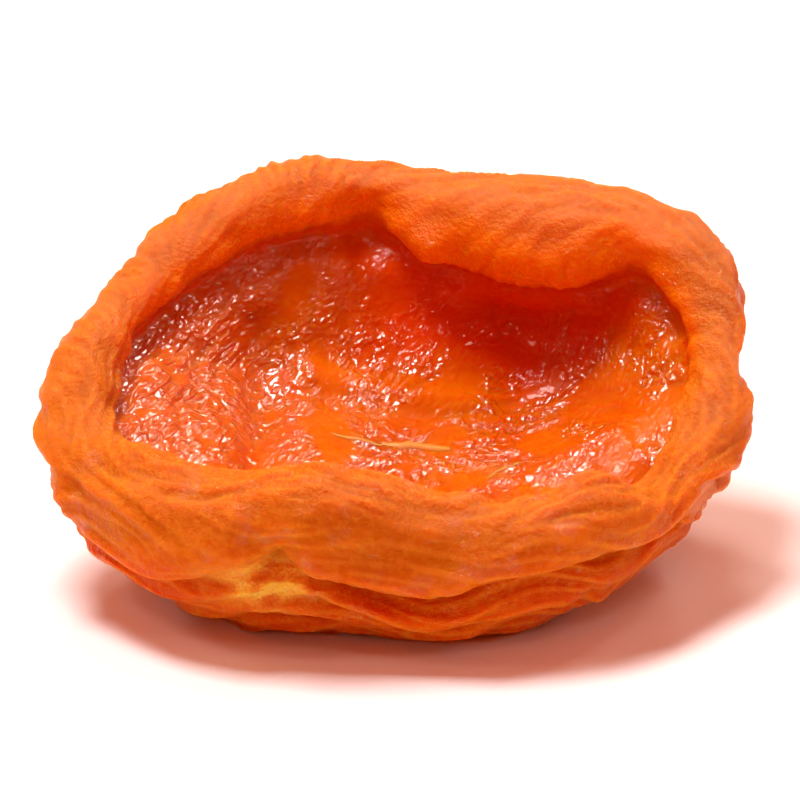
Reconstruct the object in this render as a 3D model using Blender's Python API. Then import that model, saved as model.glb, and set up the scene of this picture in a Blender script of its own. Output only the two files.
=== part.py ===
"""Dried apricot half, lying on its skin side with its hollow turned up and a little to the front.

Run with: blender --background --python part.py

The fruit was cut round its suture, stoned and dried cut side up. Its skin shrank onto a rounded
belly and curled in over the cut edge, so a thick wavy roll runs round the hollow that the stone
left. The half is one piece: a ball of even quads is pressed into this shape by formulas.
Metres in the scene, +Z up, X along the half's length, and -Y towards its low front edge.
"""

import bmesh
import bpy
import numpy as np

MM = 0.001

# The curled edge: centre of the roll and its radius in mm, from the right end round by the back,
# the left end and the front.
ROLL = np.array((
    (22.0, -2.6, 11.8, 2.3),
    (22.9, 3.2, 15.5, 2.1),
    (20.5, 8.8, 19.6, 2.3),
    (15.6, 12.0, 21.2, 2.7),
    (10.5, 13.0, 20.2, 3.7),
    (5.0, 13.8, 20.8, 3.4),
    (-0.8, 14.8, 22.2, 2.6),
    (-6.5, 14.6, 22.6, 2.4),
    (-12.0, 13.0, 21.2, 2.2),
    (-17.0, 9.6, 19.0, 2.0),
    (-20.8, 5.0, 16.4, 2.0),
    (-22.6, -0.5, 13.2, 2.1),
    (-21.8, -6.0, 10.4, 2.5),
    (-17.4, -11.0, 8.9, 3.2),
    (-11.6, -13.8, 9.4, 3.5),
    (-5.6, -14.6, 10.4, 3.3),
    (0.8, -15.2, 9.0, 3.1),
    (7.0, -15.2, 8.5, 2.6),
    (12.8, -13.0, 8.9, 2.3),
    (18.0, -8.6, 9.4, 2.3),
))
STATIONS = len(ROLL)

# Middle of the belly, a little below the flat that it rests on, and middle of the hollow's floor.
BELLY = np.array((0.0, -2.0, -0.7))
FLOOR = np.array((3.5, 0.0, 8.6))
FLOOR_SLOPE = 0.22
# Belly rings: share of the way from the belly's middle out to the roll, and the share of the
# roll's height that the belly has climbed there.
BELLY_RINGS = ((0.24, 0.0), (0.46, 0.02), (0.72, 0.16), (0.88, 0.46))
# Radius in mm of the cage's round innermost rings, under the belly and on the hollow's floor.
BELLY_RADIUS = 5.0
FLOOR_RADIUS = 4.5
# The roll's own section: angles round its centre, up from the outer side, in degrees.
ROLL_ANGLES = (-68, -22, 28, 80, 130, 180)
ROLL_CAGE = 1.22
# How far round the roll curls in over the hollow: degrees at LOW_EDGE, and more for each mm above.
ROLL_CURL = 212
CURL_PER_MM = 2.2
LOW_EDGE = 10.0
# Hollow rings: share of the way from the floor's middle out to the roll, and the share of the
# roll's height over the floor that the hollow has climbed there.
HOLLOW_RINGS = ((0.79, 0.46), (0.53, 0.20), (0.25, 0.08))

# What pushed the soft half out of its even shape while it dried: place, push and reach in mm.
PUSHES = (
    ("left shoulder of the hollow", (-16.5, -1.0, 10.5), (0.0, 0.0, 1.6), 7.5),
    ("dish of the pit", (4.5, 1.0, 8.8), (0.0, 0.0, -0.9), 6.5),
    ("dip before the thick roll", (9.0, 7.5, 13.0), (0.3, 1.4, -1.4), 4.6),
    ("pocket under the thick roll", (7.5, 11.2, 14.8), (0.0, 1.5, -0.3), 3.2),
    ("pocket under the right of the roll", (13.5, 10.8, 15.4), (0.0, 1.5, -0.3), 3.2),
    ("overhang of the thick roll", (8.0, 9.6, 18.6), (0.0, -1.0, 0.3), 3.0),
    ("overhang right of the thickest", (13.2, 9.2, 18.8), (0.0, -1.6, -0.6), 3.0),
    ("small lip right of the pinch", (1.8, 11.6, 20.4), (0.0, -1.1, -0.6), 2.0),
    ("knob at the front right", (13.7, -12.6, 11.2), (0.0, 0.6, 1.3), 2.4),
    ("dip beside the knob", (17.6, -9.0, 11.4), (0.0, 0.8, -1.5), 2.6),
    ("low stretch of the right edge", (22.8, -4.0, 13.5), (0.0, 0.0, -1.0), 3.0),
    ("tuck between the front folds", (-8.4, -17.8, 7.6), (0.3, 2.6, 0.9), 2.2),
    ("dent of the right end", (25.8, 2.0, 13.0), (-1.8, 0.0, 0.0), 3.4),
    ("dent of the back", (2.0, 18.5, 13.0), (0.0, -1.6, 0.0), 5.0),
    ("swelling of the back left", (-13.0, 14.0, 12.0), (-0.8, 1.2, 0.0), 5.0),
    ("swelling under the front", (2.0, -14.0, 3.0), (0.0, -1.0, 0.2), 4.0),
)
# Creases where skin folded against skin, and low ridges between them as the entries with less
# than nothing for a depth: the line's points, its half width and its depth in mm.
CREASES = (
    ("pinch down the back roll",
     ((-3.2, 14.2, 24.6), (-2.7, 12.5, 22.4), (-2.4, 11.9, 19.6)), 1.4, 1.3),
    ("under the left front fold",
     ((-23.5, -7.0, 6.6), (-19.0, -13.2, 5.0), (-13.6, -16.2, 5.0), (-9.8, -17.2, 6.2),
      (-7.8, -17.4, 8.4)), 1.1, 2.4),
    ("under the right front fold",
     ((-7.6, -16.8, 6.8), (-2.6, -17.4, 5.4), (1.0, -17.8, 4.8), (5.0, -17.6, 5.2),
      (10.0, -16.4, 5.8), (14.0, -13.8, 6.2), (19.0, -9.0, 6.6)), 1.1, 2.2),
    ("second crease under the front",
     ((-10.0, -14.4, 2.8), (-2.0, -15.2, 2.0), (6.0, -15.6, 2.6), (13.0, -12.8, 3.4)), 0.9, 0.8),
    ("crease outside the left end",
     ((-24.5, 6.0, 12.0), (-25.0, 0.0, 9.4), (-23.8, -6.0, 7.6)), 1.0, 0.9),
    ("crease along the top of the left fold",
     ((-20.5, -9.8, 11.8), (-16.0, -13.8, 11.4), (-10.0, -16.6, 11.6)), 0.9, 0.45),
    ("valley between shoulder and pit",
     ((-9.9, 9.1, 14.0), (-9.2, 3.0, 11.4), (-9.9, -4.5, 9.8)), 1.9, 1.2),
    ("ripple of the shoulder",
     ((-20.5, -2.5, 13.0), (-15.5, 0.5, 12.8), (-9.5, 0.0, 11.2)), 1.0, 0.35),
    ("second ripple of the shoulder",
     ((-19.0, 4.0, 15.4), (-14.5, 5.6, 14.4), (-8.5, 4.4, 12.6)), 1.2, 0.4),
    ("ridge across the pit's floor",
     ((-3.0, -6.0, 8.8), (3.0, -3.4, 8.4), (10.0, -3.0, 8.6), (15.0, -0.5, 10.0)), 1.4, -0.6),
    ("ridge behind the pit",
     ((-6.0, 7.0, 12.0), (0.0, 6.0, 10.8), (6.0, 6.0, 10.4)), 1.3, -0.6),
    ("gutter under the back roll",
     ((-20.0, -0.7, 12.0), (-18.5, 4.1, 14.8), (-15.2, 8.1, 16.9), (-10.8, 11.2, 18.7),
      (-5.9, 12.6, 19.8), (-0.8, 12.6, 19.2), (4.5, 11.2, 17.5), (8.0, 10.4, 16.9),
      (11.6, 9.9, 16.7), (14.8, 9.9, 17.2), (17.4, 8.7, 18.0), (19.4, 5.6, 15.7)), 1.1, 0.9),
    ("crease along the back roll",
     ((3.0, 17.6, 22.0), (9.0, 17.2, 21.4), (15.0, 15.8, 21.4), (20.0, 12.8, 20.2)), 1.4, 0.4),
    ("crease of the back left",
     ((-19.5, 11.5, 16.0), (-13.0, 16.2, 18.6), (-6.0, 18.2, 19.6)), 1.1, 0.9),
    ("crease down the right end",
     ((24.5, 6.5, 17.0), (25.2, 1.5, 12.6), (23.0, -3.5, 8.6)), 1.1, 1.0),
)
# Slow unevenness of the whole half: from crest to crest, and its height, in mm.
SWELL_WAVE = 13.0
SWELL_HEIGHT = 0.5
# Wide folds of the skin round the belly: from crest to crest, and their height, in mm. They
# wander by a share of a fold over WANDER_WAVE, and come and go over FADE_WAVE.
FOLD_WAVE = 5.2
FOLD_HEIGHT = 0.5
FOLD_WANDER = 0.55
WANDER_WAVE = 15.0
FADE_WAVE = 11.0
# Way from the middle of the belly to the middle of the hollow, over the roll, in mm.
PROFILE = 62.0
# From the zero that the sizes above are given from to the middle of the finished half, in mm.
MIDDLE = np.array((-0.48, -0.66, 0.0))

# Quads along each edge of the ball that is pressed into the half.
SIDE = 30
FLESH_COLOUR = (0.76, 0.17, 0.02, 1.0)


def round_the_edge(values, at):
    """A smooth closed line through values, one for each station, read at the places `at`."""
    count = len(values)
    shift = np.roll(np.eye(count), 1, axis=0)
    weights = (4 * np.eye(count) + shift + shift.T) / 6
    cage = np.linalg.solve(weights, values)
    first = np.floor(at).astype(int)
    f = at - first
    parts = ((1 - f) ** 3, 3 * f**3 - 6 * f**2 + 4, 1 + 3 * f + 3 * f**2 - 3 * f**3, f**3)
    return sum(w[:, None] * cage[(first + j - 1) % count] for j, w in enumerate(parts)) / 6


def rings():
    """The cage of the half: one row of stations for each ring, from the belly to the hollow."""
    turn = np.arange(STATIONS) / STATIONS * 2 * np.pi
    spoke = np.stack((np.cos(turn), np.sin(turn), 0 * turn), axis=1)
    centre = ROLL[:, :3]
    radius = ROLL[:, 3:]
    ahead = np.roll(centre, -1, axis=0) - np.roll(centre, 1, axis=0)
    out = np.stack((ahead[:, 1], -ahead[:, 0], 0 * turn), axis=1)
    out /= np.linalg.norm(out, axis=1)[:, None]
    up = np.array((0.0, 0.0, 1.0))
    made = []
    for share, climb in BELLY_RINGS:
        ring = BELLY + share * (centre + out * radius - BELLY)
        ring[:, 2] = BELLY[2] + climb * (centre[:, 2] - BELLY[2])
        made.append(ring)
    made[0] = BELLY + spoke * BELLY_RADIUS
    curl = ROLL_CURL + CURL_PER_MM * (centre[:, 2:] - LOW_EDGE)
    for degrees in (*ROLL_ANGLES, curl):
        angle = np.radians(degrees)
        made.append(centre + ROLL_CAGE * radius * (np.cos(angle) * out + np.sin(angle) * up))
    for share, climb in HOLLOW_RINGS:
        ring = FLOOR + share * (centre - FLOOR)
        ring[:, 2] = FLOOR[2] + climb * (centre[:, 2] - FLOOR[2])
        made.append(ring)
    slant = np.array((0.0, 0.0, FLOOR_SLOPE))
    made[-1] = FLOOR + FLOOR_RADIUS * (spoke + np.sin(turn)[:, None] * slant)
    half = STATIONS // 2
    return [
        np.roll(made[0], half, axis=0),
        np.tile(BELLY, (STATIONS, 1)),
        *made,
        np.tile(FLOOR, (STATIONS, 1)),
        np.roll(made[-1], half, axis=0),
    ]


def form(turns, along):
    """Points in mm: `turns` runs round the edge from 0 to 1, `along` from belly to hollow."""
    cage = rings()
    lines = np.stack([round_the_edge(ring, turns * STATIONS) for ring in cage])
    spans = len(cage) - 3
    at = np.clip(along, 0, 1) * spans
    first = np.minimum(at.astype(int), spans - 1)
    f = at - first
    parts = ((1 - f) ** 3, 3 * f**3 - 6 * f**2 + 4, 1 + 3 * f + 3 * f**2 - 3 * f**3, f**3)
    pick = np.arange(len(turns))
    return sum(w[:, None] * lines[first + j, pick] for j, w in enumerate(parts)) / 6


def even_spacing():
    """How far along the profile each share of its length lies, as a mean round the edge."""
    along = np.linspace(0, 1, 241)
    length = np.zeros(len(along))
    for turn in np.arange(0, 1, 1 / 16):
        line = form(np.full(len(along), turn), along)
        length[1:] += np.cumsum(np.linalg.norm(np.diff(line, axis=0), axis=1))
    return length / length[-1], along


def ball(name, side):
    """A ball of six even grids of quads, `side` to each edge."""
    bm = bmesh.new()
    bmesh.ops.create_cube(bm, size=2.0)
    bmesh.ops.subdivide_edges(bm, edges=bm.edges[:], cuts=side - 1, use_grid_fill=True)
    mesh = bpy.data.meshes.new(name)
    bm.to_mesh(mesh)
    bm.free()
    points = np.empty(len(mesh.vertices) * 3)
    mesh.vertices.foreach_get("co", points)
    cube = np.tan(points.reshape(-1, 3) * np.pi / 4)
    return mesh, cube / np.linalg.norm(cube, axis=1)[:, None]


def curve_through(corners):
    """A smooth line through these corners as short straight stretches."""
    corners = np.array(corners)
    ends = np.vstack((2 * corners[0] - corners[1], corners, 2 * corners[-1] - corners[-2]))
    line = []
    for a, b, c, d in zip(ends, ends[1:], ends[2:], ends[3:]):
        for f in np.arange(0, 1, 0.2):
            bend = (2 * a - 5 * b + 4 * c - d) * f**2 + (3 * b - a - 3 * c + d) * f**3
            line.append(b + ((c - a) * f + bend) / 2)
    line.append(corners[-1])
    return np.array(line)


def near_line(points, line):
    """How far each point lies from a line of straight stretches."""
    nearest = np.full(len(points), np.inf)
    for start, end in zip(line[:-1], line[1:]):
        run = end - start
        share = np.clip((points - start) @ run / (run @ run), 0, 1)
        gap = np.linalg.norm(points - start - share[:, None] * run, axis=1)
        nearest = np.minimum(nearest, gap)
    return nearest


def swell(points, size, seed):
    """Slow uneven waves through space, about `size` mm from crest to crest, from -1 to 1."""
    rng = np.random.default_rng(seed)
    total = np.zeros(len(points))
    for _ in range(8):
        heading = rng.normal(size=3)
        heading *= rng.uniform(0.75, 1.3) / np.linalg.norm(heading)
        total += np.cos(points @ heading * 2 * np.pi / size + rng.uniform(0, 2 * np.pi))
    return np.tanh(total / 2.6)


def between(values, low, high):
    """0 below `low`, 1 above `high` and a smooth step between."""
    f = np.clip((values - low) / (high - low), 0, 1)
    return f * f * (3 - 2 * f)


def normals_of(mesh, points):
    """Outward normals of the mesh with its points put at these places."""
    mesh.vertices.foreach_set("co", points.ravel())
    mesh.update()
    normals = np.empty(len(points) * 3)
    mesh.vertex_normals.foreach_get("vector", normals)
    return normals.reshape(-1, 3)


def pressed(mesh, points, share):
    """The form with its pushes, wide folds and creases; `share` is 0 at the belly, 1 inside."""
    moved = points.copy()
    for _, place, push, reach in PUSHES:
        gap = np.linalg.norm(points - np.array(place), axis=1)
        moved += np.exp(-((gap / reach) ** 2))[:, None] * np.array(push)
    normals = normals_of(mesh, moved)
    lift = SWELL_HEIGHT * swell(moved, SWELL_WAVE, 3) * between(share, 0.12, 0.3)
    round_belly = share * PROFILE / FOLD_WAVE + FOLD_WANDER * swell(moved, WANDER_WAVE, 5)
    fades = (0.6 + 0.4 * swell(moved, FADE_WAVE, 7)) * between(share, 0.13, 0.24)
    fades *= 1 - between(share, 0.50, 0.58)
    lift += FOLD_HEIGHT * np.cos(2 * np.pi * round_belly) * fades
    for _, corners, width, depth in CREASES:
        gap = near_line(moved, curve_through(corners)) / width
        lift -= depth * (1.25 * np.exp(-(gap**2)) - 0.4 * np.exp(-((gap / 2.2) ** 2)))
    return moved + lift[:, None] * normals


def dried_flesh():
    """Soft dried apricot flesh and skin: deep orange, dull on the skin and a little see-through."""
    material = bpy.data.materials.new("dried_apricot_flesh")
    material.use_nodes = True
    shader = material.node_tree.nodes["Principled BSDF"]
    shader.inputs["Base Color"].default_value = FLESH_COLOUR
    shader.inputs["Roughness"].default_value = 0.45
    shader.inputs["Metallic"].default_value = 0.0
    return material


def apricot_half(collection):
    mesh, way = ball("apricot_half", SIDE)
    turns = np.arctan2(way[:, 1], way[:, 0]) / (2 * np.pi) % 1
    share = np.arccos(np.clip(-way[:, 2], -1, 1)) / np.pi
    along = np.interp(share, *even_spacing())
    points = pressed(mesh, form(turns, along), share)
    points[:, 2] = np.maximum(points[:, 2], 0)
    points -= MIDDLE
    mesh.vertices.foreach_set("co", (points * MM).ravel())
    mesh.update()
    mesh.shade_smooth()
    mesh.materials.append(dried_flesh())
    collection.objects.link(bpy.data.objects.new("apricot_half", mesh))


for old in list(bpy.data.objects):
    bpy.data.objects.remove(old, do_unlink=True)
dried_apricot = bpy.data.collections.new("dried_apricot")
bpy.context.scene.collection.children.link(dried_apricot)
apricot_half(dried_apricot)
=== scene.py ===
"""A dried apricot half, lying on its skin side on a white table under a soft overhead light.

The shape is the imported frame's own, worked out again on a much finer surface, on which the
drying wrinkles are then raised. Lengths are in mm until the points go into a mesh.
"""

import bmesh
import bpy
import numpy as np
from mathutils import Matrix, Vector
from mathutils.kdtree import KDTree


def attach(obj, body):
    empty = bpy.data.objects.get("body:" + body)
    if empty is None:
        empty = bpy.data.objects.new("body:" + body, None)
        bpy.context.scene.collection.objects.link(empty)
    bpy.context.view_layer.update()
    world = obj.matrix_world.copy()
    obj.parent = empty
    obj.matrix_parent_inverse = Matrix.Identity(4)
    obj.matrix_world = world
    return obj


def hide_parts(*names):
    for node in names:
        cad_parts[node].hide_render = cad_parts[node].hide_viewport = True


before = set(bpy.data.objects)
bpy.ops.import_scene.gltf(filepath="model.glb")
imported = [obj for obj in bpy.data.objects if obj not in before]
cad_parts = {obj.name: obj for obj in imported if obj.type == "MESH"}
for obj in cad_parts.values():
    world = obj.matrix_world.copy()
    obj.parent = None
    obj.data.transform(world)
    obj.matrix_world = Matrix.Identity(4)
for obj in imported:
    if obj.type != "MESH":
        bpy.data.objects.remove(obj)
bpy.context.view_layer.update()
MM = 0.001

# The dried half: skin and flesh in one piece. The fruit was cut round its suture and stoned, and
# dried cut side up, so the skin shrank onto a rounded belly and curled in over the cut edge as a
# thick wavy roll, round the hollow that the stone left.

# The curled edge: centre of the roll and its radius in mm, from the right end round by the back,
# the left end and the front.
ROLL = np.array((
    (22.0, -2.6, 11.8, 2.3),
    (22.9, 3.2, 15.5, 2.1),
    (20.5, 8.8, 19.6, 2.3),
    (15.6, 12.0, 21.2, 2.7),
    (10.5, 13.0, 20.2, 3.7),
    (5.0, 13.8, 20.8, 3.4),
    (-0.8, 14.8, 22.2, 2.6),
    (-6.5, 14.6, 22.6, 2.4),
    (-12.0, 13.0, 21.2, 2.2),
    (-17.0, 9.6, 19.0, 2.0),
    (-20.8, 5.0, 16.4, 2.0),
    (-22.6, -0.5, 13.2, 2.1),
    (-21.8, -6.0, 10.4, 2.5),
    (-17.4, -11.0, 8.9, 3.2),
    (-11.6, -13.8, 9.4, 3.5),
    (-5.6, -14.6, 10.4, 3.3),
    (0.8, -15.2, 9.0, 3.1),
    (7.0, -15.2, 8.5, 2.6),
    (12.8, -13.0, 8.9, 2.3),
    (18.0, -8.6, 9.4, 2.3),
))
STATIONS = len(ROLL)

# Middle of the belly, a little below the flat that it rests on, and middle of the hollow's floor.
BELLY = np.array((0.0, -2.0, -0.7))
FLOOR = np.array((3.5, 0.0, 8.6))
FLOOR_SLOPE = 0.22
# Belly rings: share of the way from the belly's middle out to the roll, and the share of the
# roll's height that the belly has climbed there.
BELLY_RINGS = ((0.24, 0.0), (0.46, 0.02), (0.72, 0.16), (0.88, 0.46))
# Radius in mm of the cage's round innermost rings, under the belly and on the hollow's floor.
BELLY_RADIUS = 5.0
FLOOR_RADIUS = 4.5
# The roll's own section: angles round its centre, up from the outer side, in degrees.
ROLL_ANGLES = (-68, -22, 28, 80, 130, 180)
ROLL_CAGE = 1.22
# How far round the roll curls in over the hollow: degrees at LOW_EDGE, and more for each mm above.
ROLL_CURL = 212
CURL_PER_MM = 2.2
LOW_EDGE = 10.0
# Hollow rings: share of the way from the floor's middle out to the roll, and the share of the
# roll's height over the floor that the hollow has climbed there.
HOLLOW_RINGS = ((0.79, 0.46), (0.53, 0.20), (0.25, 0.08))

# What pushed the soft half out of its even shape while it dried: place, push and reach in mm.
PUSHES = (
    ("left shoulder of the hollow", (-16.5, -1.0, 10.5), (0.0, 0.0, 1.6), 7.5),
    ("dish of the pit", (4.5, 1.0, 8.8), (0.0, 0.0, -0.9), 6.5),
    ("dip before the thick roll", (9.0, 7.5, 13.0), (0.3, 1.4, -1.4), 4.6),
    ("pocket under the thick roll", (7.5, 11.2, 14.8), (0.0, 1.5, -0.3), 3.2),
    ("pocket under the right of the roll", (13.5, 10.8, 15.4), (0.0, 1.5, -0.3), 3.2),
    ("overhang of the thick roll", (8.0, 9.6, 18.6), (0.0, -1.0, 0.3), 3.0),
    ("overhang right of the thickest", (13.2, 9.2, 18.8), (0.0, -1.6, -0.6), 3.0),
    ("small lip right of the pinch", (1.8, 11.6, 20.4), (0.0, -1.1, -0.6), 2.0),
    ("knob at the front right", (13.7, -12.6, 11.2), (0.0, 0.6, 1.3), 2.4),
    ("dip beside the knob", (17.6, -9.0, 11.4), (0.0, 0.8, -1.5), 2.6),
    ("low stretch of the right edge", (22.8, -4.0, 13.5), (0.0, 0.0, -1.0), 3.0),
    ("tuck between the front folds", (-8.4, -17.8, 7.6), (0.3, 2.6, 0.9), 2.2),
    ("dent of the right end", (25.8, 2.0, 13.0), (-1.8, 0.0, 0.0), 3.4),
    ("dent of the back", (2.0, 18.5, 13.0), (0.0, -1.6, 0.0), 5.0),
    ("swelling of the back left", (-13.0, 14.0, 12.0), (-0.8, 1.2, 0.0), 5.0),
    ("swelling under the front", (2.0, -14.0, 3.0), (0.0, -1.0, 0.2), 4.0),
)
# Creases where skin folded against skin, and low ridges between them as the entries with less
# than nothing for a depth: the line's points, its half width and its depth in mm.
CREASES = (
    ("pinch down the back roll",
     ((-3.2, 14.2, 24.6), (-2.7, 12.5, 22.4), (-2.4, 11.9, 19.6)), 1.4, 1.3),
    ("under the left front fold",
     ((-23.5, -7.0, 6.6), (-19.0, -13.2, 5.0), (-13.6, -16.2, 5.0), (-9.8, -17.2, 6.2),
      (-7.8, -17.4, 8.4)), 1.1, 2.4),
    ("under the right front fold",
     ((-7.6, -16.8, 6.8), (-2.6, -17.4, 5.4), (1.0, -17.8, 4.8), (5.0, -17.6, 5.2),
      (10.0, -16.4, 5.8), (14.0, -13.8, 6.2), (19.0, -9.0, 6.6)), 1.1, 2.2),
    ("second crease under the front",
     ((-10.0, -14.4, 2.8), (-2.0, -15.2, 2.0), (6.0, -15.6, 2.6), (13.0, -12.8, 3.4)), 0.9, 0.8),
    ("crease outside the left end",
     ((-24.5, 6.0, 12.0), (-25.0, 0.0, 9.4), (-23.8, -6.0, 7.6)), 1.0, 0.9),
    ("crease along the top of the left fold",
     ((-20.5, -9.8, 11.8), (-16.0, -13.8, 11.4), (-10.0, -16.6, 11.6)), 0.9, 0.45),
    ("valley between shoulder and pit",
     ((-9.9, 9.1, 14.0), (-9.2, 3.0, 11.4), (-9.9, -4.5, 9.8)), 1.9, 1.2),
    ("ripple of the shoulder",
     ((-20.5, -2.5, 13.0), (-15.5, 0.5, 12.8), (-9.5, 0.0, 11.2)), 1.0, 0.35),
    ("second ripple of the shoulder",
     ((-19.0, 4.0, 15.4), (-14.5, 5.6, 14.4), (-8.5, 4.4, 12.6)), 1.2, 0.4),
    ("ridge across the pit's floor",
     ((-3.0, -6.0, 8.8), (3.0, -3.4, 8.4), (10.0, -3.0, 8.6), (15.0, -0.5, 10.0)), 1.4, -0.6),
    ("ridge behind the pit",
     ((-6.0, 7.0, 12.0), (0.0, 6.0, 10.8), (6.0, 6.0, 10.4)), 1.3, -0.6),
    ("gutter under the back roll",
     ((-20.0, -0.7, 12.0), (-18.5, 4.1, 14.8), (-15.2, 8.1, 16.9), (-10.8, 11.2, 18.7),
      (-5.9, 12.6, 19.8), (-0.8, 12.6, 19.2), (4.5, 11.2, 17.5), (8.0, 10.4, 16.9),
      (11.6, 9.9, 16.7), (14.8, 9.9, 17.2), (17.4, 8.7, 18.0), (19.4, 5.6, 15.7)), 1.1, 0.9),
    ("crease along the back roll",
     ((3.0, 17.6, 22.0), (9.0, 17.2, 21.4), (15.0, 15.8, 21.4), (20.0, 12.8, 20.2)), 1.4, 0.4),
    ("crease of the back left",
     ((-19.5, 11.5, 16.0), (-13.0, 16.2, 18.6), (-6.0, 18.2, 19.6)), 1.1, 0.9),
    ("crease down the right end",
     ((24.5, 6.5, 17.0), (25.2, 1.5, 12.6), (23.0, -3.5, 8.6)), 1.1, 1.0),
)
# Slow unevenness of the whole half: from crest to crest, and its height, in mm.
SWELL_WAVE = 13.0
SWELL_HEIGHT = 0.5
# Wide folds of the skin round the belly: from crest to crest, and their height, in mm. They
# wander by a share of a fold over WANDER_WAVE, and come and go over FADE_WAVE.
FOLD_WAVE = 5.2
FOLD_HEIGHT = 0.5
FOLD_WANDER = 0.55
WANDER_WAVE = 15.0
FADE_WAVE = 11.0
# Way from the middle of the belly to the middle of the hollow, over the roll, in mm.
PROFILE = 62.0
# From the zero that the sizes above are given from to the middle of the finished half, in mm.
MIDDLE = np.array((-0.48, -0.66, 0.0))
# Quads along each edge of the ball that is pressed into the half.
SIDE = 124


def round_the_edge(values, at):
    """A smooth closed line through values, one for each station, read at the places `at`."""
    count = len(values)
    shift = np.roll(np.eye(count), 1, axis=0)
    weights = (4 * np.eye(count) + shift + shift.T) / 6
    cage = np.linalg.solve(weights, values)
    first = np.floor(at).astype(int)
    f = at - first
    parts = ((1 - f) ** 3, 3 * f**3 - 6 * f**2 + 4, 1 + 3 * f + 3 * f**2 - 3 * f**3, f**3)
    return sum(w[:, None] * cage[(first + j - 1) % count] for j, w in enumerate(parts)) / 6


def rings():
    """The cage of the half: one row of stations for each ring, from the belly to the hollow."""
    turn = np.arange(STATIONS) / STATIONS * 2 * np.pi
    spoke = np.stack((np.cos(turn), np.sin(turn), 0 * turn), axis=1)
    centre = ROLL[:, :3]
    radius = ROLL[:, 3:]
    ahead = np.roll(centre, -1, axis=0) - np.roll(centre, 1, axis=0)
    out = np.stack((ahead[:, 1], -ahead[:, 0], 0 * turn), axis=1)
    out /= np.linalg.norm(out, axis=1)[:, None]
    up = np.array((0.0, 0.0, 1.0))
    made = []
    for share, climb in BELLY_RINGS:
        ring = BELLY + share * (centre + out * radius - BELLY)
        ring[:, 2] = BELLY[2] + climb * (centre[:, 2] - BELLY[2])
        made.append(ring)
    made[0] = BELLY + spoke * BELLY_RADIUS
    curl = ROLL_CURL + CURL_PER_MM * (centre[:, 2:] - LOW_EDGE)
    for degrees in (*ROLL_ANGLES, curl):
        angle = np.radians(degrees)
        made.append(centre + ROLL_CAGE * radius * (np.cos(angle) * out + np.sin(angle) * up))
    for share, climb in HOLLOW_RINGS:
        ring = FLOOR + share * (centre - FLOOR)
        ring[:, 2] = FLOOR[2] + climb * (centre[:, 2] - FLOOR[2])
        made.append(ring)
    slant = np.array((0.0, 0.0, FLOOR_SLOPE))
    made[-1] = FLOOR + FLOOR_RADIUS * (spoke + np.sin(turn)[:, None] * slant)
    half = STATIONS // 2
    return [
        np.roll(made[0], half, axis=0),
        np.tile(BELLY, (STATIONS, 1)),
        *made,
        np.tile(FLOOR, (STATIONS, 1)),
        np.roll(made[-1], half, axis=0),
    ]


def form(turns, along):
    """Points in mm: `turns` runs round the edge from 0 to 1, `along` from belly to hollow."""
    cage = rings()
    lines = np.stack([round_the_edge(ring, turns * STATIONS) for ring in cage])
    spans = len(cage) - 3
    at = np.clip(along, 0, 1) * spans
    first = np.minimum(at.astype(int), spans - 1)
    f = at - first
    parts = ((1 - f) ** 3, 3 * f**3 - 6 * f**2 + 4, 1 + 3 * f + 3 * f**2 - 3 * f**3, f**3)
    pick = np.arange(len(turns))
    return sum(w[:, None] * lines[first + j, pick] for j, w in enumerate(parts)) / 6


def even_spacing():
    """How far along the profile each share of its length lies, as a mean round the edge."""
    along = np.linspace(0, 1, 241)
    length = np.zeros(len(along))
    for turn in np.arange(0, 1, 1 / 16):
        line = form(np.full(len(along), turn), along)
        length[1:] += np.cumsum(np.linalg.norm(np.diff(line, axis=0), axis=1))
    return length / length[-1], along


def ball(name, side):
    """A ball of six even grids of quads, `side` to each edge."""
    bm = bmesh.new()
    bmesh.ops.create_cube(bm, size=2.0)
    bmesh.ops.subdivide_edges(bm, edges=bm.edges[:], cuts=side - 1, use_grid_fill=True)
    mesh = bpy.data.meshes.new(name)
    bm.to_mesh(mesh)
    bm.free()
    points = np.empty(len(mesh.vertices) * 3)
    mesh.vertices.foreach_get("co", points)
    cube = np.tan(points.reshape(-1, 3) * np.pi / 4)
    return mesh, cube / np.linalg.norm(cube, axis=1)[:, None]


def curve_through(corners):
    """A smooth line through these corners as short straight stretches."""
    corners = np.array(corners)
    ends = np.vstack((2 * corners[0] - corners[1], corners, 2 * corners[-1] - corners[-2]))
    line = []
    for a, b, c, d in zip(ends, ends[1:], ends[2:], ends[3:]):
        for f in np.arange(0, 1, 0.2):
            bend = (2 * a - 5 * b + 4 * c - d) * f**2 + (3 * b - a - 3 * c + d) * f**3
            line.append(b + ((c - a) * f + bend) / 2)
    line.append(corners[-1])
    return np.array(line)


def near_line(points, line):
    """How far each point lies from a line of straight stretches."""
    nearest = np.full(len(points), np.inf)
    for start, end in zip(line[:-1], line[1:]):
        run = end - start
        share = np.clip((points - start) @ run / (run @ run), 0, 1)
        gap = np.linalg.norm(points - start - share[:, None] * run, axis=1)
        nearest = np.minimum(nearest, gap)
    return nearest


def swell(points, size, seed):
    """Slow uneven waves through space, about `size` mm from crest to crest, from -1 to 1."""
    rng = np.random.default_rng(seed)
    total = np.zeros(len(points))
    for _ in range(8):
        heading = rng.normal(size=3)
        heading *= rng.uniform(0.75, 1.3) / np.linalg.norm(heading)
        total += np.cos(points @ heading * 2 * np.pi / size + rng.uniform(0, 2 * np.pi))
    return np.tanh(total / 2.6)


def between(values, low, high):
    """0 below `low`, 1 above `high` and a smooth step between."""
    f = np.clip((values - low) / (high - low), 0, 1)
    return f * f * (3 - 2 * f)


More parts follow.
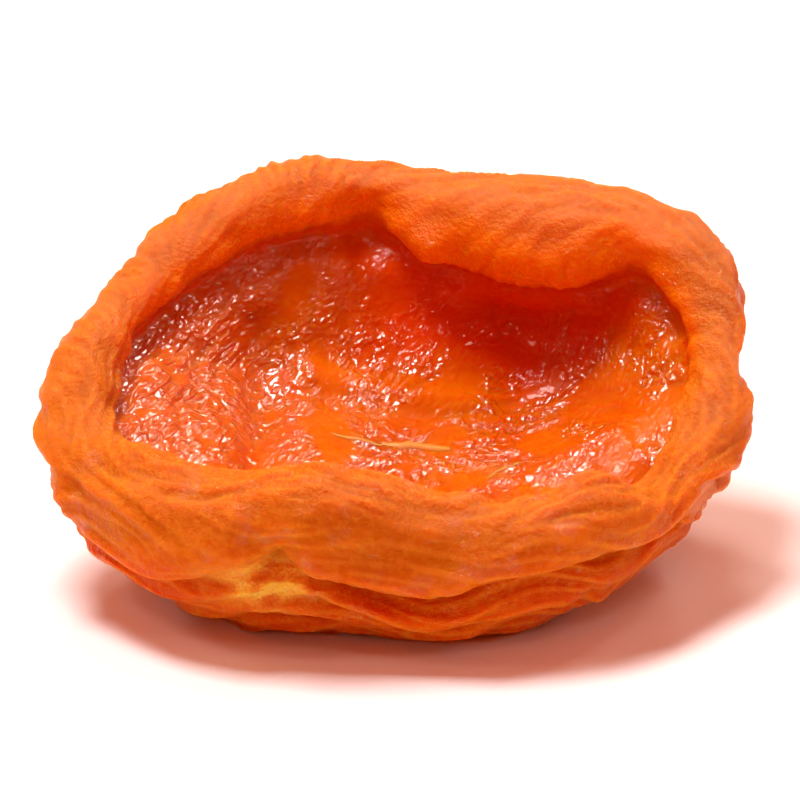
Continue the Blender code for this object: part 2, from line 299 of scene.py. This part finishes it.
def normals_of(mesh, points):
    """Outward normals of the mesh with its points put at these places."""
    mesh.vertices.foreach_set("co", points.ravel())
    mesh.update()
    normals = np.empty(len(points) * 3)
    mesh.vertex_normals.foreach_get("vector", normals)
    return normals.reshape(-1, 3)


def pressed(mesh, points, share):
    """The form with its pushes, wide folds and creases; `share` is 0 at the belly, 1 inside."""
    moved = points.copy()
    for _, place, push, reach in PUSHES:
        gap = np.linalg.norm(points - np.array(place), axis=1)
        moved += np.exp(-((gap / reach) ** 2))[:, None] * np.array(push)
    normals = normals_of(mesh, moved)
    lift = SWELL_HEIGHT * swell(moved, SWELL_WAVE, 3) * between(share, 0.12, 0.3)
    round_belly = share * PROFILE / FOLD_WAVE + FOLD_WANDER * swell(moved, WANDER_WAVE, 5)
    fades = (0.6 + 0.4 * swell(moved, FADE_WAVE, 7)) * between(share, 0.13, 0.24)
    fades *= 1 - between(share, 0.50, 0.58)
    lift += FOLD_HEIGHT * np.cos(2 * np.pi * round_belly) * fades
    for _, corners, width, depth in CREASES:
        gap = near_line(moved, curve_through(corners)) / width
        lift -= depth * (1.25 * np.exp(-(gap**2)) - 0.4 * np.exp(-((gap / 2.2) ** 2)))
    return moved + lift[:, None] * normals


mesh, way = ball("dried_apricot_half", SIDE)
turns = np.arctan2(way[:, 1], way[:, 0]) / (2 * np.pi) % 1
share = np.arccos(np.clip(-way[:, 2], -1, 1)) / np.pi
along = np.interp(share, *even_spacing())
points = pressed(mesh, form(turns, along), share)
x, y, z = points.T

# Which part of the half each point is on, from 0 to 1: the skin, the roll's top with its front
# lobes, and the hollow inside it with its left shoulder.
SKIN_END = (0.44, 0.58)
ROLL_START = (0.42, 0.52)
HOLLOW_START = (0.700, 0.722)
skin = 1 - between(along, *SKIN_END)
roll_top = between(along, *ROLL_START)
hollow = between(along + 0.004 * swell(points, 5.0, 21), *HOLLOW_START)
outside = 1 - hollow
front = between(-y, 8.0, 13.0)
shoulder = hollow * (1 - between(x, -13.0, -7.0))

# The grain that the wrinkles follow: round the half on its skin, slanting over the roll, and
# along the shoulder's own shrinking on the left of the hollow: that heading, and its pull there.
SHOULDER_GRAIN = (0.50, 0.85, -0.15)
SHOULDER_PULL = 3.0
# How far the grain leans from its way round, in radians: as it wanders over LEAN_WAVE mm, in the
# hollow, and on the back of the roll.
LEAN_WANDER = 0.45
LEAN_WAVE = 12.0
HOLLOW_LEAN = 1.2
ROLL_LEAN = 0.8
normals = normals_of(mesh, points)
around = np.cross((0.0, 0.0, 1.0), points)
around /= np.maximum(np.linalg.norm(around, axis=1), 1e-6)[:, None]
across = np.cross(normals, around)
lean = LEAN_WANDER * swell(points, LEAN_WAVE, 31) + HOLLOW_LEAN * hollow
lean += ROLL_LEAN * roll_top * outside * between(y, -4.0, 4.0)
grain = np.cos(lean)[:, None] * around + np.sin(lean)[:, None] * across
grain += SHOULDER_PULL * shoulder[:, None] * (np.array(SHOULDER_GRAIN) - grain)
grain -= (grain * normals).sum(axis=1)[:, None] * normals
grain /= np.maximum(np.linalg.norm(grain, axis=1), 1e-6)[:, None]

# The drying wrinkles. Skin that dries slower than the flesh under it buckles into ridges, long
# and side by side where it shrank one way, short and pebbly on the roll, and finer in the hollow.
# They are grown here from noise: each round smooths it over the surface, more along the grain
# than across, and sharpens what is left into ridges one wave apart.
# From crest to crest in mm, for the skin's ridges, its pleats, the roll's pebbles and its lumps.
RIDGE_WAVE = 1.05
PLEAT_WAVE = 2.4
PEBBLE_WAVE = 0.95
LUMP_WAVE = 2.2
# From one point of the grain to the next, in mm: over twice the mesh's own spacing. Each point's
# step is a little longer or shorter, so that no row of points keeps to itself.
GRAIN_STEP = 0.5
STEP_SPREAD = (0.6, 1.4)
# A wave comes out strongest between a spread of this much, for a wave number of 1, and one four
# times as far: about a third of the logarithm of 4. SHARPEN steepens the ridges each round.
BEST_SPREAD = 0.462
SHARPEN = 1.6


def web_of(mesh, points):
    """The surface as weighted threads between neighbouring points, and the area round each."""
    mesh.calc_loop_triangles()
    corners = np.empty(len(mesh.loop_triangles) * 3, dtype=np.int32)
    mesh.loop_triangles.foreach_get("vertices", corners)
    corners = corners.reshape(-1, 3)
    a, b, c = (points[corners[:, k]] for k in range(3))
    double = np.maximum(np.linalg.norm(np.cross(b - a, c - a), axis=1), 1e-9)
    sides = (c - b, a - c, b - a)
    starts, ends, weights = [], [], []
    for i, j in ((0, 1), (1, 2), (2, 0)):
        starts.append(corners[:, i])
        ends.append(corners[:, j])
        weights.append(-(sides[i] * sides[j]).sum(axis=1) / double / 2)
    starts, ends, weights = (np.concatenate(rows) for rows in (starts, ends, weights))
    count = len(points)
    keys = np.minimum(starts, ends).astype(np.int64) * count + np.maximum(starts, ends)
    unique, place = np.unique(keys, return_inverse=True)
    weights = np.maximum(np.bincount(place, weights), 0)
    area = sum(np.bincount(corners[:, k], double / 6, count) for k in range(3))
    return unique // count, unique % count, weights, area


def smoothed(values, web, amount):
    """The values after they have spread over the surface by `amount` square mm."""
    first, second, weights, area = web
    count = len(values)
    pull = np.bincount(first, weights, count) + np.bincount(second, weights, count)
    stride = 0.45 * np.median(area / pull)
    steps = max(1, int(np.ceil(amount / stride)))
    rate = np.minimum(amount / steps / area, 0.8 / pull)
    for _ in range(steps):
        flow = weights * (values[second] - values[first])
        values = values + rate * (
            np.bincount(first, flow, count) - np.bincount(second, flow, count)
        )
    return values


def combed(values, ahead, behind, reach):
    """The values drawn out along the grain, `reach` steps to each side."""
    total = values.copy()
    leading = trailing = np.arange(len(values))
    for step in range(1, reach + 1):
        leading, trailing = ahead[leading], behind[trailing]
        total += (1 - step / (reach + 1)) * (values[leading] + values[trailing])
    return total / (reach + 1)


def wrinkles(wave, reach, rounds, seed):
    """Ridges about `wave` mm apart, from -1 in the valleys to 1 on the crests."""
    values = np.random.default_rng(seed).normal(size=len(points))
    fine = BEST_SPREAD * (wave / (2 * np.pi)) ** 2
    for _ in range(rounds):
        narrow = smoothed(combed(values, ahead, behind, reach), web, fine)
        values = narrow - smoothed(narrow, web, 3 * fine)
        values = np.tanh(SHARPEN * values / values.std())
    return values


tree = KDTree(len(points))
for number, point in enumerate(points):
    tree.insert(point, number)
tree.balance()
stride = GRAIN_STEP * np.random.default_rng(40).uniform(*STEP_SPREAD, (len(points), 1)) * grain
ahead = np.array([tree.find(point)[1] for point in points + stride])
behind = np.array([tree.find(point)[1] for point in points - stride])
web = web_of(mesh, points)
ridges = wrinkles(RIDGE_WAVE, 6, 10, 41)
pleats = wrinkles(PLEAT_WAVE, 7, 6, 42)
pebbles = wrinkles(PEBBLE_WAVE, 1, 10, 43)
lumps = wrinkles(LUMP_WAVE, 2, 6, 44)
sharp = np.exp(2.0 * (ridges - 1))

# How far each kind is raised, in mm. The front face is stretched and calmer, the far wall of the
# hollow smoother, and the flesh of the hollow beaded in patches.
RIDGE_HEIGHT = 0.17
PLEAT_HEIGHT = 0.10
ROLL_RIDGE_HEIGHT = 0.04
PEBBLE_HEIGHT = 0.06
LUMP_HEIGHT = 0.08
FRONT_LUMP_HEIGHT = 0.07
ROLL_SWELL_HEIGHT = 0.16
FLESH_HEIGHT = 0.02
BEAD_HEIGHT = 0.05
RIPPLE_HEIGHT = 0.12
CALM_MIDDLE = (0.0, -17.0, 8.5)
CALM_REACH = (30.0, 3.0, 3.2)
CALM_SHARE = 0.55
# The share of a ridge's height that lies under the even surface. The rest of it stands out.
RIDGE_FOOT = 0.3
calm = 1 - CALM_SHARE * np.exp(-(((points - CALM_MIDDLE) / CALM_REACH) ** 2).sum(axis=1))
patchy = between(swell(points, 4.6, 51), -0.65, 0.25)
far_wall = between(y, 6.0, 11.0) * between(x, -6.0, 0.0)
lift = (RIDGE_HEIGHT * (sharp - RIDGE_FOOT) + PLEAT_HEIGHT * pleats) * skin * calm
lift += ROLL_RIDGE_HEIGHT * (sharp - RIDGE_FOOT) * (1 - skin) * outside
lift += PEBBLE_HEIGHT * pebbles * roll_top * outside
lift += (LUMP_HEIGHT + FRONT_LUMP_HEIGHT * front) * lumps * roll_top * outside
lift += ROLL_SWELL_HEIGHT * swell(points, 3.6, 22) * roll_top * outside
flesh_height = (FLESH_HEIGHT + BEAD_HEIGHT * patchy) * (1 - 0.6 * far_wall)
lift += flesh_height * (0.8 * pebbles + lumps) * hollow
lift += RIPPLE_HEIGHT * (sharp - RIDGE_FOOT) * shoulder

# Where the skin and the flesh differ in colour and wetness, each from 0 to 1. The crests dried
# palest. Painted shade makes the skin redder lower down, and the flesh under the thick roll, along
# the roll's inner lip and in the valley beside the shoulder. A painted sheen lightens the roll's
# upward tops. Light that comes through the roll makes its inner side glow.
# The roll's inner lip and its half width, as shares of the profile, and the valley's in mm.
LIP = 0.722
LIP_WIDTH = 0.016
VALLEY_WIDTH = 1.7
crest = (0.75 * sharp + 0.25 * (0.5 + 0.5 * pleats)) * (1 - roll_top)
crest += roll_top * (0.52 + 0.20 * pebbles + 0.10 * lumps)
# Painted sheen: the roll's upward-facing tops are coloured a lighter peach. The same mask marks
# its waxy film for the coat.
film_and_top_sheen = roll_top * between(normals[:, 2], 0.1, 0.7) * (0.4 + 0.6 * between(y, -6.0, 6.0))
points = points + lift[:, None] * normals
x, y, z = points.T
# Painted shade: the skin is coloured redder towards the bottom.
low = 1 - between(z + 1.5 * swell(points, 9.0, 71), 4.0, 9.5)
# Painted shade: the flesh is coloured redder under the thick roll, along its inner lip and in the
# valley.
deep = between(y + 0.8 * swell(points, 5.0, 73), 6.0, 11.0) * between(x, -9.0, 3.0)
lip_shade = np.exp(-(((along - LIP) / LIP_WIDTH) ** 2)) * between(y, 0.0, 5.0)
deep = np.maximum(deep, 0.9 * lip_shade)
glow = between(along, 0.58, 0.68) * outside * between(y, -3.0, 4.0)
valley_line = next(corners for name, corners, _, _ in CREASES if name.startswith("valley"))
valley = np.exp(-((near_line(points, curve_through(valley_line)) / VALLEY_WIDTH) ** 2))
patchy = (patchy + 1.2 * shoulder) * (1 - 0.75 * deep) * (1 - 0.9 * valley)
deep = np.maximum(deep, 0.3 * valley)

# Where the skin dried thin and yellow, under the tuck of the front lobes: its middle and reach.
YELLOW_MIDDLE = (-9.4, -16.2, 5.7)
YELLOW_REACH = (3.2, 3.0, 1.7)
yellow = 1.5 * np.exp(-(((points - YELLOW_MIDDLE) / YELLOW_REACH) ** 2).sum(axis=1))
yellow = np.minimum(yellow, 1) * between(swell(points, 2.2, 61), -1.2, 0.0)

# Where the stalk broke off, at the notch of the back edge: a brown pit with a puckered rim.
SCAR = (-3.4, 21.0, 17.5)
PIT_RADIUS = 0.9
PIT_DEPTH = 0.55
RIM_RADIUS = 1.5
RIM_WIDTH = 0.5
RIM_HEIGHT = 0.22
stalk = points[np.argmin(np.linalg.norm(points - SCAR, axis=1))]
scar_gap = np.linalg.norm(points - stalk, axis=1)
scar = np.exp(-((scar_gap / PIT_RADIUS) ** 2))
rim = np.exp(-(((scar_gap - RIM_RADIUS) / RIM_WIDTH) ** 2))
points += (RIM_HEIGHT * rim - PIT_DEPTH * scar)[:, None] * normals

points[:, 2] = np.maximum(points[:, 2], 0)
points -= MIDDLE
mesh.vertices.foreach_set("co", (points * MM).ravel())
masks = {
    "hollow": hollow, "crest": crest, "film_and_top_sheen": film_and_top_sheen, "low": low, "glow": glow, "yellow": yellow,
    "scar": scar, "shoulder": shoulder, "deep": deep, "patchy": patchy,
}
for name, values in masks.items():
    spread = mesh.attributes.new(name, "FLOAT", "POINT").data
    spread.foreach_set("value", values.astype(np.float32))
# The way round the half and over its profile, for the skin's fine hair-lines: a ring that is
# drawn in to a fourth of its real size, so that they come out four times as long as wide.
RING = 5.0
turned = 2 * np.pi * turns
ring = np.stack((RING * np.cos(turned), RING * np.sin(turned), share * PROFILE), axis=1) * MM
spread = mesh.attributes.new("round", "FLOAT_VECTOR", "POINT").data
spread.foreach_set("vector", ring.astype(np.float32).ravel())
mesh.update()
mesh.shade_smooth()


def linear(hex_colour):
    """An sRGB colour such as "#e8781e" as linear red, green, blue and 1."""
    levels = [int(hex_colour[i:i + 2], 16) / 255 for i in (1, 3, 5)]
    return [v / 12.92 if v <= 0.04045 else ((v + 0.055) / 1.055) ** 2.4 for v in levels] + [1.0]


def per(mm):
    """The scale of a noise whose waves are that many mm apart."""
    return 1 / (mm * MM)


def add(material, kind, inputs, **settings):
    """Adds a node: `settings` of its own, and `inputs` as sockets to link, values or colours."""
    node = material.node_tree.nodes.new("ShaderNode" + kind)
    for name, value in settings.items():
        setattr(node, name, value)
    for name, value in inputs.items():
        if isinstance(value, bpy.types.NodeSocket):
            material.node_tree.links.new(value, node.inputs[name])
        else:
            node.inputs[name].default_value = linear(value) if isinstance(value, str) else value
    return node


# Soft dried apricot: skin with the flesh dried onto it in warm air, to a leather that still holds
# its juice. Light goes deep into it and comes back orange. The skin is dull and grainy with a
# thin waxy film, and the flesh in the hollow is wet and glints on every bead and ripple.
# A Mix node's sockets go by number: 0 is the share, 2 and 3 its numbers, 6 and 7 its colours.
dried = bpy.data.materials.new("soft_dried_apricot")
dried.use_nodes = True
dried.node_tree.nodes.clear()
place = add(dried, "TexCoord", {}).outputs["Object"]
mask = {name: add(dried, "Attribute", {}, attribute_name=name).outputs["Fac"] for name in masks}
IN_COLOUR = {"data_type": "RGBA"}

# Its colours: cloudy orange skin, redder below as painted shade, with a painted peach sheen on
# the roll's upward tops, and pale on the crests, with a dusting of dried sugar, a sallow speckled
# patch and the brown scar, and the clearer orange flesh, with painted light paler on the shoulder
# and painted shade redder under the roll, along its lip and in the valley.
cloud = add(dried, "TexNoise", {
    "Vector": place, "Scale": per(5.9), "Detail": 3.0, "Roughness": 0.55,
}).outputs["Fac"]
cloudy = add(dried, "MapRange", {
    "Value": cloud, "From Min": 0.30, "From Max": 0.70,
}).outputs["Result"]
sugar = add(dried, "TexNoise", {
    "Vector": place, "Scale": per(0.667), "Detail": 2.0,
}).outputs["Fac"]
dusting = add(dried, "MapRange", {
    "Value": sugar, "From Min": 0.45, "From Max": 0.75, "To Max": 0.45,
}).outputs["Result"]
paleness = add(dried, "MapRange", {
    "Value": mask["crest"], "From Min": 0.35, "From Max": 1.0, "To Max": 0.32,
}).outputs["Result"]
speck = add(dried, "TexNoise", {
    "Vector": place, "Scale": per(0.2), "Detail": 0.0,
}).outputs["Fac"]
specks = add(dried, "MapRange", {
    "Value": speck, "From Min": 0.58, "From Max": 0.66, "To Max": 0.6,
}).outputs["Result"]
upper = add(dried, "Mix", {0: cloudy, 6: "#ca6000", 7: "#d26e00"}, **IN_COLOUR).outputs[2]
# Painted shade: the redder skin colours used towards the bottom.
under = add(dried, "Mix", {0: cloudy, 6: "#ce4c00", 7: "#da6000"}, **IN_COLOUR).outputs[2]
# Painted sheen: a lighter peach on the roll's upward tops.
sheened_tops = add(dried, "Mix", {0: mask["film_and_top_sheen"], 6: upper, 7: "#cc6c10"}, **IN_COLOUR).outputs[2]
skin_with_low_shade = add(dried, "Mix", {0: mask["low"], 6: sheened_tops, 7: under}, **IN_COLOUR).outputs[2]
ridged = add(dried, "Mix", {0: paleness, 6: skin_with_low_shade, 7: "#f0a030"}, **IN_COLOUR).outputs[2]
dusted = add(dried, "Mix", {0: dusting, 6: ridged, 7: "#e68c24"}, **IN_COLOUR).outputs[2]
lit = add(dried, "Mix", {0: mask["glow"], 6: dusted, 7: "#ee7400"}, **IN_COLOUR).outputs[2]
sallow = add(dried, "Mix", {0: specks, 6: "#ffc44c", 7: "#e09030"}, **IN_COLOUR).outputs[2]
patched = add(dried, "Mix", {0: mask["yellow"], 6: lit, 7: sallow}, **IN_COLOUR).outputs[2]
scarred = add(dried, "Mix", {0: mask["scar"], 6: patched, 7: "#4c1e06"}, **IN_COLOUR).outputs[2]
clear = add(dried, "Mix", {0: cloudy, 6: "#cc5400", 7: "#da7000"}, **IN_COLOUR).outputs[2]
# Painted light: the flesh on the shoulder is coloured paler. It stands in for the shoulder's sheen
# and lifts it out of shade.
shoulder_painted_light = add(dried, "Mix", {0: mask["shoulder"], 6: clear, 7: "#da660a"}, **IN_COLOUR).outputs[2]
# Painted shade: redder flesh under the roll, along its lip and in the valley.
flesh = add(dried, "Mix", {0: mask["deep"], 6: shoulder_painted_light, 7: "#da3c00"}, **IN_COLOUR).outputs[2]
colour = add(dried, "Mix", {0: mask["hollow"], 6: scarred, 7: flesh}, **IN_COLOUR).outputs[2]

# Its gloss: the sugar dulls it, and the coat is the waxy film on the skin and juice in the hollow.
skin_dull = add(dried, "MapRange", {
    "Value": sugar, "From Min": 0.35, "From Max": 0.65, "To Min": 0.34, "To Max": 0.52,
}).outputs["Result"]
flesh_dull = add(dried, "MapRange", {
    "Value": sugar, "From Min": 0.35, "From Max": 0.65, "To Min": 0.28, "To Max": 0.40,
}).outputs["Result"]
dull = add(dried, "Mix", {0: mask["hollow"], 2: skin_dull, 3: flesh_dull}).outputs[0]
wax = add(dried, "TexNoise", {
    "Vector": place, "Scale": per(1.92), "Detail": 2.0,
}).outputs["Fac"]
waxy = add(dried, "MapRange", {
    "Value": wax, "From Min": 0.56, "From Max": 0.66, "To Max": 0.4,
}).outputs["Result"]
filmed = add(dried, "Mix", {0: mask["film_and_top_sheen"], 2: waxy, 3: 0.22}).outputs[0]
juice = add(dried, "MapRange", {"Value": mask["patchy"], "To Min": 0.15}).outputs["Result"]
coat = add(dried, "Mix", {0: mask["hollow"], 2: filmed, 3: juice}).outputs[0]

# Its grain: pores and hair-lines on the skin, and in the hollow beads of flesh in clusters, drawn
# out the way that the stone was pulled.
FINE_HEIGHT = 0.3
hair = add(dried, "TexNoise", {
    "Vector": add(dried, "Attribute", {}, attribute_name="round").outputs["Vector"],
    "Scale": per(0.385), "Detail": 2.0, "Roughness": 0.6, "Distortion": 0.4,
}).outputs["Fac"]
pores = add(dried, "TexNoise", {
    "Vector": place, "Scale": per(0.333), "Detail": 2.0, "Roughness": 0.6,
}).outputs["Fac"]
grit = add(dried, "Mix", {0: 0.8, 2: hair, 3: pores}).outputs[0]
gritty = add(dried, "Math", {0: grit, 1: 1.3}, operation="MULTIPLY").outputs[0]
pulled = add(dried, "Mapping", {
    "Vector": place, "Rotation": (0.0, 0.0, np.radians(60)), "Scale": (2.8, 1.0, 1.0),
}, vector_type="TEXTURE").outputs["Vector"]
bead = add(dried, "TexNoise", {
    "Vector": pulled, "Scale": per(0.333), "Detail": 0.0, "Distortion": 0.4,
}).outputs["Fac"]
bead_size = add(dried, "MapRange", {
    "Value": mask["patchy"], "To Min": 0.25,
}, clamp=False).outputs["Result"]
cluster = add(dried, "TexNoise", {
    "Vector": place, "Scale": per(1.43), "Detail": 1.0, "Distortion": 0.5,
}).outputs["Fac"]
clusters = add(dried, "MapRange", {
    "Value": cluster, "From Min": 0.38, "From Max": 0.52, "To Min": 0.14,
}).outputs["Result"]
sized = add(dried, "Math", {0: clusters, 1: bead_size}, operation="MULTIPLY").outputs[0]
beads = add(dried, "Math", {0: bead, 1: sized}, operation="MULTIPLY").outputs[0]
fine = add(dried, "Mix", {0: mask["hollow"], 2: gritty, 3: beads}).outputs[0]
grained = add(dried, "Bump", {
    "Height": fine, "Distance": FINE_HEIGHT * MM, "Strength": 1.0,
}).outputs["Normal"]

# Red light goes 2 mm into the flesh, green a fourth of that, and blue hardly at all.
surface = add(dried, "BsdfPrincipled", {
    "Base Color": colour, "Roughness": dull, "Normal": grained, "IOR": 1.42,
    "Specular IOR Level": 0.3, "Specular Tint": (1.0, 0.5, 0.18, 1.0),
    "Coat Weight": coat, "Coat Roughness": 0.05, "Coat IOR": 1.7, "Coat Normal": grained,
    "Subsurface Weight": 1.0, "Subsurface Scale": 2.0 * MM, "Subsurface Radius": (1.0, 0.25, 0.06),
}, subsurface_method="RANDOM_WALK").outputs["BSDF"]
add(dried, "OutputMaterial", {"Surface": surface})

half = bpy.data.objects.new("dried_apricot_half", mesh)
bpy.context.scene.collection.objects.link(half)
mesh.materials.append(dried)
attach(half, "root")
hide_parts("apricot_half")

# The fibres: threads of flesh that were drawn out when the stone was pulled away, and that dried
# pale where they fell, sunk into the wet floor of the hollow.
# Each has its start and its end in mm, how far its middle bows to the back, and its half width.
FIBRES = (
    ((-1.4, 1.2), (4.6, 1.9), 0.15, 0.52),
    ((-4.8, 1.5), (-0.2, 1.2), -0.2, 0.22),
    ((6.2, -1.6), (9.4, 0.3), 0.4, 0.13),
)
# Points along each fibre. It wobbles by WOBBLE mm, WOBBLE_RATE radians from end to end. Its middle
# line lies SUNK of its half width under the floor, its ends are THIN_END as thick as its middle,
# and the floor is looked for from ABOVE mm up.
FIBRE_KNOTS = 18
WOBBLE = 0.05
WOBBLE_RATE = 13
SUNK = 0.6
THIN_END = 0.25
ABOVE = 50.0

# Dried flesh fibre: the same flesh as thin threads, so it dried harder and paler, with a soft
# gloss and hardly any depth to its colour.
fibre = bpy.data.materials.new("dried_flesh_fibre")
fibre.use_nodes = True
fibre.node_tree.nodes.clear()
streak = add(fibre, "TexNoise", {
    "Vector": add(fibre, "TexCoord", {}).outputs["Object"], "Scale": per(0.556),
}).outputs["Fac"]
straw = add(fibre, "Mix", {0: streak, 6: "#e88424", 7: "#f0a850"}, **IN_COLOUR).outputs[2]
thread = add(fibre, "BsdfPrincipled", {
    "Base Color": straw, "Roughness": 0.35, "Subsurface Weight": 1.0, "Subsurface Scale": 1.0 * MM,
}).outputs["BSDF"]
add(fibre, "OutputMaterial", {"Surface": thread})

for number, (start, end, bow, width) in enumerate(FIBRES, 1):
    line = bpy.data.curves.new(f"flesh_fibre_{number}", "CURVE")
    line.dimensions = "3D"
    line.bevel_depth = width * MM
    line.bevel_resolution = 2
    line.use_fill_caps = True
    spline = line.splines.new("POLY")
    spline.points.add(FIBRE_KNOTS - 1)
    for knot, f in zip(spline.points, np.linspace(0, 1, FIBRE_KNOTS)):
        knot_x = start[0] + f * (end[0] - start[0])
        knot_y = start[1] + f * (end[1] - start[1])
        knot_y += bow * np.sin(np.pi * f) + WOBBLE * np.sin(WOBBLE_RATE * f + number)
        above = (knot_x * MM, knot_y * MM, ABOVE * MM)
        _, floor, slope, _ = half.ray_cast(above, (0, 0, -1))
        knot.co = (*(floor - slope * SUNK * width * MM), 1.0)
        knot.radius = THIN_END + (1 - THIN_END) * np.sin(np.pi * f) ** 0.5
    line.materials.append(fibre)
    strand = bpy.data.objects.new(f"flesh_fibre_{number}", line)
    bpy.context.scene.collection.objects.link(strand)
    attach(strand, "root")

# The table: a plain sheet of matt white card, wide enough that its edge is never seen.
TABLE_HALF_WIDTH = 1500.0
bm = bmesh.new()
bmesh.ops.create_grid(bm, x_segments=1, y_segments=1, size=TABLE_HALF_WIDTH * MM)
sheet = bpy.data.meshes.new("white_table")
bm.to_mesh(sheet)
bm.free()

# Matt white card: uncoated pressed paper, which scatters the light evenly and shows no gloss.
card = bpy.data.materials.new("matt_white_card")
card.use_nodes = True
card.node_tree.nodes.clear()
matt = add(card, "BsdfPrincipled", {"Base Color": "#fcfcfc", "Roughness": 0.8}).outputs["BSDF"]
add(card, "OutputMaterial", {"Surface": matt})
sheet.materials.append(card)
table = bpy.data.objects.new("white_table", sheet)
bpy.context.scene.collection.objects.link(table)

# The light: a large soft box high on the left, a smaller one at the back, one at the right that
# only gives the wet shoulder of the hollow its sheen, and a ring of weak ones that it glints from.
WHITE = "#ffffff"
WARM = "#fff0e2"
# The ring starts RING_START degrees round from the back. Its lamps stand by turns low and high,
# RING_RISES degrees above the table. Their mean is RING_POWER watts, with the strongest behind.
RING_LIGHTS = 8
RING_DISTANCE = 420.0
RING_START = 20
RING_RISES = (30, 52)
RING_SIZE = 50.0
RING_POWER = 0.11
RING_SWING = 0.4


def soft_box(name, place, size, power, colour, sheen_only=False):
    """A square lamp at a place in mm, turned to the middle of the table."""
    lamp = bpy.data.lights.new(name, "AREA")
    lamp.size = size * MM
    lamp.energy = power
    lamp.color = linear(colour)[:3]
    box = bpy.data.objects.new(name, lamp)
    box.location = Vector(place) * MM
    box.visible_diffuse = not sheen_only
    box.rotation_mode = "QUATERNION"
    box.rotation_quaternion = (-Vector(place)).to_track_quat("-Z", "Y")
    bpy.context.scene.collection.objects.link(box)


soft_box("key_light", (-130.0, 30.0, 490.0), 160.0, 2.35, WHITE)
soft_box("back_light", (20.0, 150.0, 410.0), 90.0, 0.38, WARM)
soft_box("side_light", (300.0, 80.0, 270.0), 110.0, 0.95, WARM, sheen_only=True)
for number in range(RING_LIGHTS):
    turn = 2 * np.pi * number / RING_LIGHTS + np.radians(RING_START)
    rise = np.radians(RING_RISES[number % 2])
    spot = np.array((np.sin(turn) * np.cos(rise), np.cos(turn) * np.cos(rise), np.sin(rise)))
    power = RING_POWER * (1 + RING_SWING * np.cos(turn))
    soft_box(f"ring_light_{number + 1}", spot * RING_DISTANCE, RING_SIZE, power, WARM)

# The room: a dim warm glow, brighter above. It lights the shadows, and the wet flesh doesn't
# mirror it.
room = bpy.data.worlds.new("warm_room")
room.use_nodes = True
heading = add(room, "TexCoord", {}).outputs["Generated"]
height = add(room, "SeparateXYZ", {"Vector": heading}).outputs["Z"]
strength = add(room, "MapRange", {
    "Value": height, "From Min": -0.1, "From Max": 0.9, "To Min": 0.36, "To Max": 0.48,
}).outputs["Result"]
backdrop = room.node_tree.nodes["Background"]
backdrop.inputs["Color"].default_value = linear("#ff5c18")
room.node_tree.links.new(strength, backdrop.inputs["Strength"])
bpy.context.scene.world = room
room.cycles_visibility.glossy = False
bpy.context.scene.view_settings.view_transform = "Standard"

# The camera: from in front, 24 degrees above level, near enough to fill the picture with the half.
SLOPE = np.radians(24.0)
DISTANCE = 450.0
VIEW_WIDTH = 57.1
AIM_RISE = 11.57
FILM_WIDTH = 36.0
up = np.array((0.0, np.sin(SLOPE), np.cos(SLOPE)))
back = np.array((0.0, -np.cos(SLOPE), np.sin(SLOPE)))
lens = bpy.data.cameras.new("camera")
lens.sensor_width = FILM_WIDTH
lens.lens = FILM_WIDTH * DISTANCE / VIEW_WIDTH
lens.clip_start = 10.0 * MM
camera = bpy.data.objects.new("camera", lens)
camera.location = (up * AIM_RISE - MIDDLE + back * DISTANCE) * MM
camera.rotation_mode = "QUATERNION"
camera.rotation_quaternion = Vector(-back).to_track_quat("-Z", "Y")
bpy.context.scene.collection.objects.link(camera)
bpy.context.scene.camera = camera
